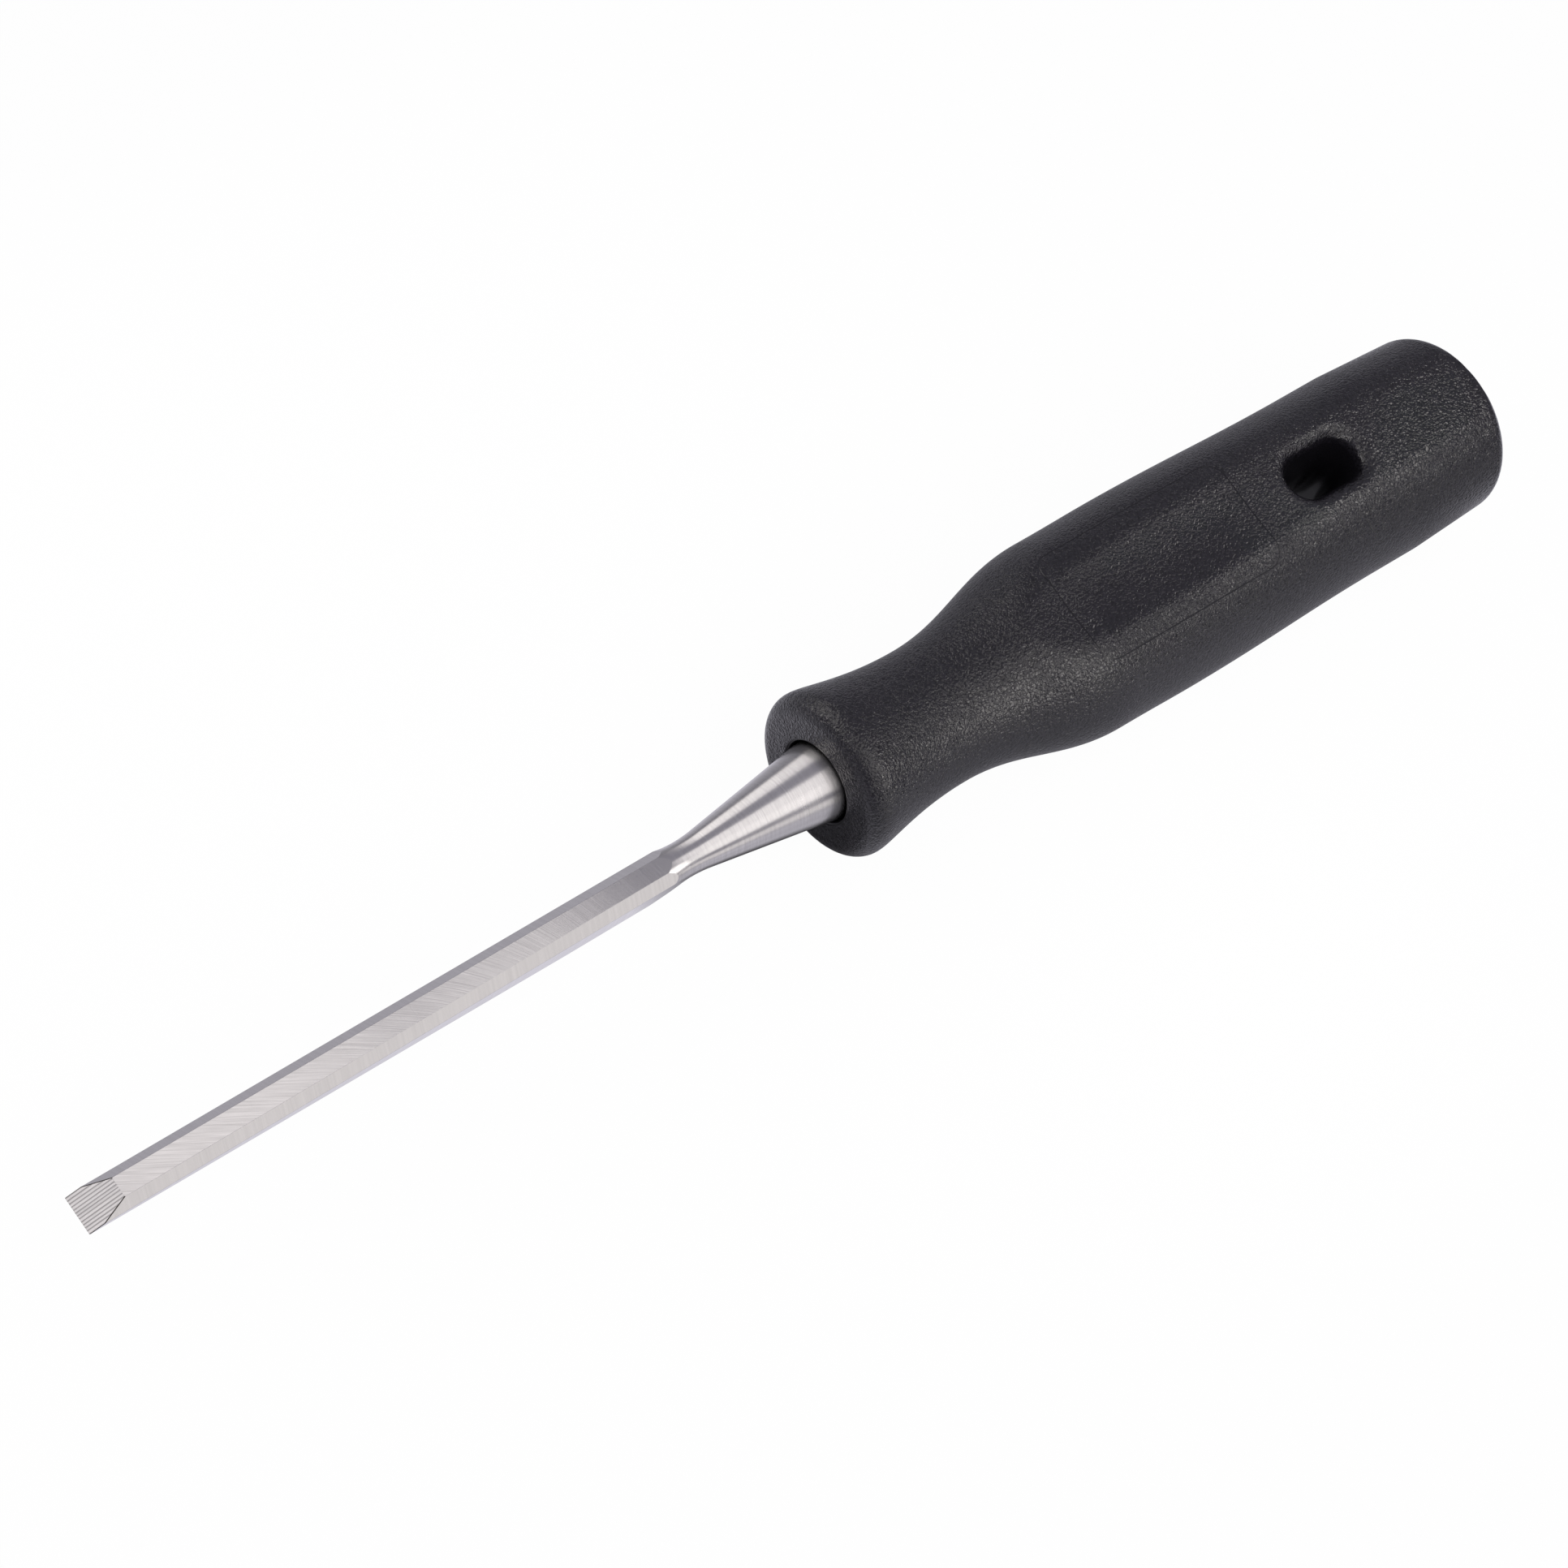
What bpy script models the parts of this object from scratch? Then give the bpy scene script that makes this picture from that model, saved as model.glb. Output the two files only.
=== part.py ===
"""Bevel-edge wood chisel: a ground steel blade on a turned neck, its tang pressed into a moulded handle.

The tool's axis runs along X, from the cutting edge to the butt, with the blade's flat back facing down.
Stations along the tool are measured from the handle's front face, towards the butt.
"""

import math

import bmesh
import bpy
from mathutils import Matrix, Vector
from mathutils.geometry import interpolate_bezier

MM = 0.001

# Blade
BLADE_WIDTH = 6.0 * MM  # across the cutting edge
ROOT_WIDTH = 5.8 * MM  # across the side faces at the neck
EDGE_TO_HANDLE = 128.5 * MM  # cutting edge to the handle's front face
CUTTING_ANGLE = math.radians(25.0)
TIP_THICKNESS = 2.8 * MM  # where the cutting bevel meets the top flat
BACK_DEPTH = 2.95 * MM  # tool axis down to the flat back
TOP_RISE = 3.15 * MM  # tool axis up to the top flat at the neck
TIP_FLAT_WIDTH = 3.1 * MM
ROOT_FLAT_WIDTH = 2.75 * MM
SIDE_BEVEL_ANGLE = math.radians(49.0)  # side bevels below the top flat

# Neck, cone and tang
NECK_DIAMETER = 5.6 * MM
NECK_TO_HANDLE = 25.4 * MM
NECK_ROOT_RADIUS = 20.0 * MM  # hollow on the blade's side of the neck
NECK_CONE_RADIUS = 25.0 * MM  # hollow on the handle's side of the neck
ROOT_FLARE_LENGTH = 11.0 * MM  # neck to the full bar of the forging
BAR_MARGIN = 0.2 * MM  # forged bar left outside the blade's corners, all ground away
CONE_DIAMETER = 12.5 * MM  # cone at the handle's front face
TANG_BASE = 7.0 * MM  # side of the square tang at the shoulder
TANG_TIP = 3.5 * MM
TANG_ROOT = 3.0 * MM  # tang carried on inside the cone
TANG_TO_SLOT = 12.0 * MM  # handle left between the tang's tip and the hang slot

# Handle
HANDLE_LENGTH = 134.0 * MM
FRONT_DIAMETER = 26.7 * MM
FRONT_EDGE_RADIUS = 3.0 * MM
WAIST_DIAMETER = 22.2 * MM
WAIST_FROM_FRONT = 22.0 * MM
SHOULDER_DIAMETER = 32.2 * MM
SHOULDER_FROM_FRONT = 50.6 * MM
BELLY_DIAMETER = 32.6 * MM
BELLY_FROM_FRONT = 68.0 * MM
THROAT_DIAMETER = 31.3 * MM
THROAT_FROM_BUTT = 28.0 * MM
HEEL_DIAMETER = 31.4 * MM
HEEL_FROM_BUTT = 18.0 * MM
BUTT_DIAMETER = 30.1 * MM
BUTT_EDGE_RADIUS = 3.0 * MM
GRIP_THICKNESS = 27.2 * MM  # across the two flattened faces
FLAT_EDGE_RADIUS = 8.0 * MM  # round from a flattened face into the grip

# How long the handle's outline runs level at the ends of each curve, as a share of the curve's length
RIM_LEVEL = 0.13
WAIST_FRONT_LEVEL = 0.53
WAIST_REAR_LEVEL = 0.42
SHOULDER_LEVEL = 0.36
GRIP_LEVEL = 0.40

# Hang slot
SLOT_FROM_BUTT = 34.6 * MM
SLOT_LENGTH = 11.6 * MM  # at its narrowest
SLOT_WIDTH = 4.4 * MM  # at its narrowest
SLOT_MOUTH_WIDTH = 12.1 * MM  # over the rounded lip
SLOT_LIP_RADIUS = 2.0 * MM
UPPER_FUNNEL_DEPTH = 7.7 * MM
LOWER_FUNNEL_DEPTH = 13.6 * MM

# Fit of the blade in the handle
COUNTERBORE_DEPTH = 4.0 * MM
COUNTERBORE_CLEARANCE = 0.5 * MM  # round the cone, on the radius
SEAT_GAP = 0.3 * MM  # under the cone's shoulder
TANG_CLEARANCE = 0.3 * MM  # on each face of the tang
TANG_END_CLEARANCE = 1.0 * MM

# Fineness of the round shapes
TURN_STEPS = 64
RING_POINTS = 64
ARC_STEPS = 8
LIP_STEPS = 4
DROP_STEPS = 9  # front rim down to the waist
SWELL_STEPS = 13  # waist up to the shoulder
BELLY_STEPS = 4
REAR_STEPS = 6

# Cutting tools reach this far past the work
OVERRUN = 5.0 * MM
LEAD_IN = 20.0 * MM  # a grinding block starts this far ahead of its face
BLOCK_WIDTH = 40.0 * MM
BLOCK_HEIGHT = 20.0 * MM
MERGE = 0.01 * MM
SHARP_ANGLE = math.radians(28.0)

# Stations and heights that follow from the sizes above
EDGE_STATION = -EDGE_TO_HANDLE
NECK_STATION = -NECK_TO_HANDLE
SHOULDER_STATION = COUNTERBORE_DEPTH - SEAT_GAP
SLOT_STATION = HANDLE_LENGTH - SLOT_FROM_BUTT
NECK_RADIUS = NECK_DIAMETER / 2
CONE_RADIUS = CONE_DIAMETER / 2
GRIP_HALF = GRIP_THICKNESS / 2
BAR_RADIUS = math.hypot(BLADE_WIDTH / 2, BACK_DEPTH) + BAR_MARGIN
MOUTH_OFFSET = (SLOT_MOUTH_WIDTH - SLOT_WIDTH) / 2
SLOT_REACH = SLOT_LENGTH / 2 + MOUTH_OFFSET
TANG_STATION = SLOT_STATION - SLOT_REACH - TANG_TO_SLOT
TANG_LENGTH = TANG_STATION - SHOULDER_STATION


def clear_scene():
    for obj in list(bpy.data.objects):
        bpy.data.objects.remove(obj, do_unlink=True)


def new_collection(name):
    group = bpy.data.collections.new(name)
    bpy.context.scene.collection.children.link(group)
    return group


def new_object(name, bm, group):
    mesh = bpy.data.meshes.new(name)
    bm.to_mesh(mesh)
    bm.free()
    obj = bpy.data.objects.new(name, mesh)
    group.objects.link(obj)
    return obj


def new_material(name, colour, metallic, roughness):
    material = bpy.data.materials.new(name)
    material.use_nodes = True
    shader = material.node_tree.nodes["Principled BSDF"]
    shader.inputs["Base Color"].default_value = (*colour, 1.0)
    shader.inputs["Metallic"].default_value = metallic
    shader.inputs["Roughness"].default_value = roughness
    return material


def apply_tool(target, tool, operation):
    """One Boolean of a cutting tool, or of a piece to join, on the target."""
    modifier = target.modifiers.new(tool.name, "BOOLEAN")
    modifier.object = tool
    modifier.operation = operation
    tool.hide_render = True
    tool.display_type = "WIRE"


def finish(part, material, parent):
    """Keeps the evaluated shape as the part's own mesh, shaded smooth between its real edges."""
    bpy.context.view_layer.update()
    graph = bpy.context.evaluated_depsgraph_get()
    shape = bpy.data.meshes.new_from_object(part.evaluated_get(graph))
    part.modifiers.clear()
    part.data = shape
    shape.name = part.name
    shape.materials.clear()
    shape.materials.append(material)
    shape.shade_smooth()
    shape.set_sharp_from_angle(angle=SHARP_ANGLE)
    part.parent = parent


def arc(centre, radius, start, end, steps):
    """Points of an arc in a profile plane, angles from the first axis."""
    angles = (start + (end - start) * step / steps for step in range(steps + 1))
    return [
        (centre[0] + radius * math.cos(angle), centre[1] + radius * math.sin(angle))
        for angle in angles
    ]


def turned(name, profile, group):
    """A body turned round X from its profile of (station, radius), listed from the tip."""
    bm = bmesh.new()
    points = [bm.verts.new((station, radius, 0.0)) for station, radius in profile]
    for first, second in zip(points, points[1:]):
        bm.edges.new((first, second))
    obj = new_object(name, bm, group)
    screw = obj.modifiers.new("turn", "SCREW")
    screw.axis = "X"
    screw.steps = TURN_STEPS
    screw.render_steps = TURN_STEPS
    screw.use_merge_vertices = True
    screw.merge_threshold = MERGE
    screw.use_normal_flip = True
    return obj


def loft(name, rings, group):
    """A closed body through rings of equally many points, with flat ends."""
    bm = bmesh.new()
    loops = [[bm.verts.new(point) for point in ring] for ring in rings]
    count = len(loops[0])
    for first, second in zip(loops, loops[1:]):
        for index in range(count):
            after = (index + 1) % count
            bm.faces.new((first[index], first[after], second[after], second[index]))
    bm.faces.new(loops[0])
    bm.faces.new(loops[-1])
    bmesh.ops.recalc_face_normals(bm, faces=bm.faces)
    return new_object(name, bm, group)


def grinding_block(name, start, end, across, group):
    """A block that grinds off what lies outside the face through start and end, up to its end."""
    along = (end - start).normalized()
    normal = along.cross(across).normalized()
    length = (end - start).length + LEAD_IN
    bm = bmesh.new()
    bmesh.ops.create_cube(bm, size=1.0)
    bmesh.ops.scale(bm, verts=bm.verts, vec=(length, BLOCK_WIDTH, BLOCK_HEIGHT))
    turn = Matrix((along, normal.cross(along), normal)).transposed()
    place = end - along * (length / 2) + normal * (BLOCK_HEIGHT / 2)
    bmesh.ops.transform(bm, verts=bm.verts, matrix=Matrix.Translation(place) @ turn.to_4x4())
    return new_object(name, bm, group)


def square_taper(name, start, start_side, end, end_side, group):
    """A tapered square bar along X between two stations."""
    corner = math.sqrt(0.5)
    bm = bmesh.new()
    bmesh.ops.create_cone(
        bm,
        cap_ends=True,
        segments=4,
        radius1=start_side * corner,
        radius2=end_side * corner,
        depth=end - start,
    )
    upright = Matrix.Rotation(math.radians(45.0), 4, "Z")
    lie_down = Matrix.Rotation(math.radians(90.0), 4, "Y")
    place = Matrix.Translation(((start + end) / 2, 0.0, 0.0))
    bmesh.ops.transform(bm, verts=bm.verts, matrix=place @ lie_down @ upright)
    return new_object(name, bm, group)


def tang_side(station):
    """Side of the square tang at a station, on its straight taper."""
    share = (station - SHOULDER_STATION) / TANG_LENGTH
    return TANG_BASE + (TANG_TIP - TANG_BASE) * share


def tangent_slope(run, rise, radius):
    """Slope of the straight cone that leaves the neck's hollow and ends at a run and rise from the neck."""
    reach = math.hypot(run, radius - rise)
    return math.atan2(run, radius - rise) - math.acos(radius / reach)


def forging_profile():
    """The forged bar, its hollow neck and the cone, from the tip to the shoulder."""
    down = -math.pi / 2
    flare = tangent_slope(ROOT_FLARE_LENGTH, BAR_RADIUS - NECK_RADIUS, NECK_ROOT_RADIUS)
    cone = tangent_slope(NECK_TO_HANDLE, CONE_RADIUS - NECK_RADIUS, NECK_CONE_RADIUS)
    root_centre = (NECK_STATION, NECK_RADIUS + NECK_ROOT_RADIUS)
    cone_centre = (NECK_STATION, NECK_RADIUS + NECK_CONE_RADIUS)
    bar_start = EDGE_STATION - OVERRUN
    profile = [(bar_start, 0.0), (bar_start, BAR_RADIUS)]
    profile.append((NECK_STATION - ROOT_FLARE_LENGTH, BAR_RADIUS))
    profile += arc(root_centre, NECK_ROOT_RADIUS, down - flare, down, ARC_STEPS)
    profile += arc(cone_centre, NECK_CONE_RADIUS, down, down + cone, ARC_STEPS)[1:]
    profile += [(0.0, CONE_RADIUS), (SHOULDER_STATION, CONE_RADIUS), (SHOULDER_STATION, 0.0)]
    return profile


def ground_faces():
    """Each ground face of the blade: its name, two points along it and a direction across it."""
    edge = Vector((EDGE_STATION, 0.0, -BACK_DEPTH))
    back_end = Vector((NECK_STATION, 0.0, -BACK_DEPTH))
    bevel_run = TIP_THICKNESS / math.tan(CUTTING_ANGLE)
    flat_start = edge + Vector((bevel_run, 0.0, TIP_THICKNESS))
    flat_end = Vector((NECK_STATION, 0.0, TOP_RISE))
    across = Vector((0.0, 1.0, 0.0))
    yield "grind_back", edge, back_end, -across
    yield "grind_top_flat", flat_start, flat_end, across
    for side, sign in (("far", 1.0), ("near", -1.0)):
        outward = Vector((0.0, sign, 0.0))
        slope = Vector((0.0, math.cos(SIDE_BEVEL_ANGLE), -sign * math.sin(SIDE_BEVEL_ANGLE)))
        bevel_start = flat_start + outward * (TIP_FLAT_WIDTH / 2)
        bevel_end = flat_end + outward * (ROOT_FLAT_WIDTH / 2)
        yield f"grind_bevel_{side}", bevel_start, bevel_end, slope
        side_start = edge + outward * (BLADE_WIDTH / 2)
        side_end = back_end + outward * (ROOT_WIDTH / 2)
        yield f"grind_side_{side}", side_start, side_end, Vector((0.0, 0.0, -sign))
    steep = Vector((math.cos(CUTTING_ANGLE), 0.0, math.sin(CUTTING_ANGLE)))
    bevel_length = (BAR_RADIUS + BACK_DEPTH) / math.sin(CUTTING_ANGLE) + OVERRUN
    yield "grind_cutting_bevel", edge, edge + steep * bevel_length, across


def make_blade(parts, cutters):
    blade = turned("blade", forging_profile(), parts)
    for name, start, end, across in ground_faces():
        apply_tool(blade, grinding_block(name, start, end, across, cutters), "DIFFERENCE")
    root = SHOULDER_STATION - TANG_ROOT
    tang = square_taper("tang", root, tang_side(root), TANG_STATION, TANG_TIP, cutters)
    apply_tool(blade, tang, "UNION")
    return blade


def level_curve(start, end, leave, arrive, steps):
    """Points after start, along a curve to another (station, radius) point, level at both ends."""
    run = end[0] - start[0]
    points = interpolate_bezier(
        Vector((*start, 0.0)),
        Vector((start[0] + leave * run, start[1], 0.0)),
        Vector((end[0] - arrive * run, end[1], 0.0)),
        Vector((*end, 0.0)),
        steps + 1,
    )
    return [(point.x, point.y) for point in points[1:]]


def handle_outline():
    """Half the handle's outline as (station, radius), from the front face to the butt."""
    rim = (FRONT_EDGE_RADIUS, FRONT_DIAMETER / 2)
    waist = (WAIST_FROM_FRONT, WAIST_DIAMETER / 2)
    shoulder = (SHOULDER_FROM_FRONT, SHOULDER_DIAMETER / 2)
    belly = (BELLY_FROM_FRONT, BELLY_DIAMETER / 2)
    throat = (HANDLE_LENGTH - THROAT_FROM_BUTT, THROAT_DIAMETER / 2)
    heel = (HANDLE_LENGTH - HEEL_FROM_BUTT, HEEL_DIAMETER / 2)
    front_centre = (FRONT_EDGE_RADIUS, FRONT_DIAMETER / 2 - FRONT_EDGE_RADIUS)
    butt_centre = (HANDLE_LENGTH - BUTT_EDGE_RADIUS, BUTT_DIAMETER / 2 - BUTT_EDGE_RADIUS)
    outline = arc(front_centre, FRONT_EDGE_RADIUS, math.pi, math.pi / 2, ARC_STEPS)
    outline += level_curve(rim, waist, RIM_LEVEL, WAIST_FRONT_LEVEL, DROP_STEPS)
    outline += level_curve(waist, shoulder, WAIST_REAR_LEVEL, SHOULDER_LEVEL, SWELL_STEPS)
    outline += level_curve(shoulder, belly, GRIP_LEVEL, GRIP_LEVEL, BELLY_STEPS)
    outline += level_curve(belly, throat, GRIP_LEVEL, GRIP_LEVEL, REAR_STEPS)
    outline += [heel]
    outline += arc(butt_centre, BUTT_EDGE_RADIUS, math.pi / 2, 0.0, ARC_STEPS)
    return outline


def grip_reach(radius, angle):
    """Distance from the axis to the grip's skin: a circle with two flattened faces and rounded edges."""
    rise = abs(math.sin(angle))
    if radius <= GRIP_HALF:
        return radius
    edge = min(FLAT_EDGE_RADIUS, GRIP_HALF)
    centre_side = math.sqrt((radius - edge) ** 2 - (GRIP_HALF - edge) ** 2)
    centre_rise = GRIP_HALF - edge
    if rise * centre_side <= centre_rise * abs(math.cos(angle)):
        return radius
    if rise * centre_side >= GRIP_HALF * abs(math.cos(angle)):
        return GRIP_HALF / rise
    along = abs(math.cos(angle)) * centre_side + rise * centre_rise
    off_squared = centre_side**2 + centre_rise**2 - along**2
    return along + math.sqrt(edge**2 - off_squared)


def grip_ring(station, radius):
    """One section across the handle."""
    ring = []
    for index in range(RING_POINTS):
        angle = 2 * math.pi * index / RING_POINTS
        reach = grip_reach(radius, angle)
        ring.append((station, reach * math.cos(angle), reach * math.sin(angle)))
    return ring


def slot_ring(offset, height):
    """One level section of the hang slot: a long hole, wider by an offset all round."""
    radius = SLOT_WIDTH / 2 + offset
    half_straight = (SLOT_LENGTH - SLOT_WIDTH) / 2
    front = arc((SLOT_STATION - half_straight, 0.0), radius, math.pi / 2, 3 * math.pi / 2, ARC_STEPS)
    rear = arc((SLOT_STATION + half_straight, 0.0), radius, -math.pi / 2, math.pi / 2, ARC_STEPS)
    return [(station, side, height) for station, side in front + rear]


def funnel_levels(depth):
    """(offset, height) down one funnel of the slot, from outside its face to the narrow slot."""
    lip_centre = (MOUTH_OFFSET, GRIP_HALF - SLOT_LIP_RADIUS)
    yield MOUTH_OFFSET, GRIP_HALF + OVERRUN
    yield from arc(lip_centre, SLOT_LIP_RADIUS, math.pi / 2, math.pi, LIP_STEPS)
    yield 0.0, GRIP_HALF - depth


def make_handle(parts, cutters):
    rings = [grip_ring(station, radius) for station, radius in handle_outline()]
    handle = loft("handle", rings, parts)
    bore_radius = CONE_RADIUS + COUNTERBORE_CLEARANCE
    counterbore = turned(
        "counterbore",
        [
            (-OVERRUN, 0.0),
            (-OVERRUN, bore_radius),
            (COUNTERBORE_DEPTH, bore_radius),
            (COUNTERBORE_DEPTH, 0.0),
        ],
        cutters,
    )
    apply_tool(handle, counterbore, "DIFFERENCE")
    hole_end = TANG_STATION + TANG_END_CLEARANCE
    hole = square_taper(
        "tang_hole",
        SHOULDER_STATION,
        TANG_BASE + 2 * TANG_CLEARANCE,
        hole_end,
        tang_side(hole_end) + 2 * TANG_CLEARANCE,
        cutters,
    )
    apply_tool(handle, hole, "DIFFERENCE")
    upper = [slot_ring(offset, height) for offset, height in funnel_levels(UPPER_FUNNEL_DEPTH)]
    lower = [slot_ring(offset, -height) for offset, height in funnel_levels(LOWER_FUNNEL_DEPTH)]
    apply_tool(handle, loft("hang_slot", upper + lower[::-1], cutters), "DIFFERENCE")
    return handle


def main():
    clear_scene()
    parts = new_collection("wood_chisel")
    cutters = new_collection("cutters")
    steel = new_material("ground_tool_steel", (0.60, 0.59, 0.58), 1.0, 0.30)
    plastic = new_material("grained_black_plastic", (0.018, 0.018, 0.020), 0.0, 0.45)
    frame = bpy.data.objects.new("tool_axis", None)
    parts.objects.link(frame)
    frame.location = ((EDGE_TO_HANDLE - HANDLE_LENGTH) / 2, 0.0, GRIP_HALF)
    finish(make_blade(parts, cutters), steel, frame)
    finish(make_handle(parts, cutters), plastic, frame)


main()
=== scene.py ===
"""Looks of a bevel-edge wood chisel: a ground steel blade and a grained handle on a white photo stage.

Stations along the tool are measured from the handle's front face, towards the butt, as on a drawing.
"""

import math

import bmesh
import bpy
from mathutils import Matrix, Vector
from mathutils.bvhtree import BVHTree
from mathutils.geometry import interpolate_bezier


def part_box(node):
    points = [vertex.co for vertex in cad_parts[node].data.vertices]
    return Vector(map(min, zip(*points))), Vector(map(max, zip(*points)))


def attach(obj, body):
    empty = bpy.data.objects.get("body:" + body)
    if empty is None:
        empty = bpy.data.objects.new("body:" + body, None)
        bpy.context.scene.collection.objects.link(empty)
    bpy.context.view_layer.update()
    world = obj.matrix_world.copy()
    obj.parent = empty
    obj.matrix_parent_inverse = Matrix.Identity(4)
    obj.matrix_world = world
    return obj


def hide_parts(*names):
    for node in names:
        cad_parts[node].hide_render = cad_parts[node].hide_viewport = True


bl_info = {
    "name": "Wood chisel",
    "version": (1, 0, 0),
    "blender": (4, 5, 0),
    "location": "View3D > Sidebar > Chisel",
    "description": "Models a bevel-edge wood chisel over its packed solids and sets it on a white stage",
    "category": "Mesh",
}

MM = 0.001
MERGE = 1e-7
FULL_TURN = 2 * math.pi
RIGHT_ANGLE = math.pi / 2
TURN_STEPS = 128
SLOT_POINTS = 96
PANEL_STEPS = 64
PICTURE_PIXELS = 1932
GRAIN = "grain"
NEAR = 1e-6  # points this close, in metres, share a station
BAR_MARGIN = 0.2 * MM  # forged bar left outside the blade's corners, all ground away
BAR_OVERHANG = 5 * MM  # forged bar left ahead of the cutting edge, all ground away
PIN_OVERHANG = 3 * MM  # a mould pin stands out of the handle this far
LEAN_EASES = (20 * MM, 50 * MM)  # from the cutting edge, where the scratches' lean eases off
LEAN_ENDS = (76 * MM, 97 * MM)  # from the cutting edge, where it ends by the neck

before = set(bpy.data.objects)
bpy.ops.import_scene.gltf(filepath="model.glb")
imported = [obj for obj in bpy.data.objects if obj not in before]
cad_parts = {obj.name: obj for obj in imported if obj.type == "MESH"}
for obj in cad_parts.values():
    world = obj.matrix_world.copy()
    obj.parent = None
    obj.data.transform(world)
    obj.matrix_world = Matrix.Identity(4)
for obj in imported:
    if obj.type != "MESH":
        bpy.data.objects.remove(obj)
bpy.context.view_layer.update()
HANDLE_LOW, HANDLE_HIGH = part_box("handle")
BLADE_LOW, BLADE_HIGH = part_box("blade")
FRONT_X = HANDLE_LOW.x
AXIS_Z = (HANDLE_LOW.z + HANDLE_HIGH.z) / 2

# Material places on the blade's mesh
TURNED, TOP_FLAT, SIDE_GROUND, COARSE_GROUND, BURR_AND_SHADE = range(5)


def length(name, millimetres, description):
    """A size that a user may change, shown in the scene's length unit."""
    return bpy.props.FloatProperty(
        name=name, description=description, default=millimetres * MM, unit="LENGTH", precision=5
    )


def angle(name, degrees, description):
    return bpy.props.FloatProperty(
        name=name, description=description, default=math.radians(degrees), unit="ROTATION"
    )


def linear(code):
    """An sRGB hex colour as linear red, green and blue."""
    shares = [int(code[place : place + 2], 16) / 255 for place in (1, 3, 5)]
    return tuple(s / 12.92 if s <= 0.04045 else ((s + 0.055) / 1.055) ** 2.4 for s in shares)


def colour(name, code, description):
    return bpy.props.FloatVectorProperty(
        name=name, description=description, default=linear(code), subtype="COLOR", size=3, min=0, max=1
    )


class ChiselBlade(bpy.types.PropertyGroup):
    """Sizes of the forging and of its ground faces"""

    width: length("Width", 6.0, "Across the cutting edge")
    root_width: length("Root width", 5.8, "Across the side faces at the neck")
    reach: length("Reach", (FRONT_X - BLADE_LOW.x) / MM, "Cutting edge to the handle's front face")
    cutting_angle: angle("Cutting angle", 25.0, "Cutting bevel against the flat back")
    tip_thickness: length("Tip thickness", 2.8, "Where the cutting bevel meets the top flat")
    back_depth: length("Back depth", 2.95, "Tool axis down to the flat back")
    top_rise: length("Top rise", 3.15, "Tool axis up to the top flat at the neck")
    tip_flat: length("Flat at the tip", 3.1, "Width of the top flat behind the cutting bevel")
    root_flat: length("Flat at the root", 2.75, "Width of the top flat at the neck")
    bevel_angle: angle("Side bevel", 49.0, "Side bevels below the top flat")
    draft_start: length(
        "Draft start", 50.0, "Where the lower edges begin to be ground away, ahead of the handle"
    )
    draft_depth: length("Draft depth", 0.4, "How far the lower edges are ground away at the neck")
    neck: length("Neck", 5.6, "Diameter of the neck")
    neck_reach: length("Neck reach", 25.4, "Neck to the handle's front face")
    root_hollow: length("Root hollow", 20.0, "Hollow radius on the blade's side of the neck")
    cone_hollow: length("Cone hollow", 25.0, "Hollow radius on the handle's side of the neck")
    flare: length("Flare", 11.0, "Neck to the full bar of the forging")
    cone: length("Cone", 12.5, "Diameter of the cone at the handle's front face")
    shoulder: length("Shoulder", 3.7, "Cone's shoulder inside the handle")
    tang_base: length("Tang base", 7.0, "Side of the square tang at the shoulder")
    tang_tip: length("Tang tip", 3.5, "Side of the square tang at its tip")
    edge_break: length("Edge break", 0.05, "Chamfer along the ground edges")
    # the burr's dark band is partly a real burr and partly painted shade of the gap along the cutting bevel's
    # sides
    land_break: length("Land break", 0.14, "Chamfer between a side bevel and the side below it")
    burr: length("Burr", 0.09, "Dark burr along the cutting bevel's sides")


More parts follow.
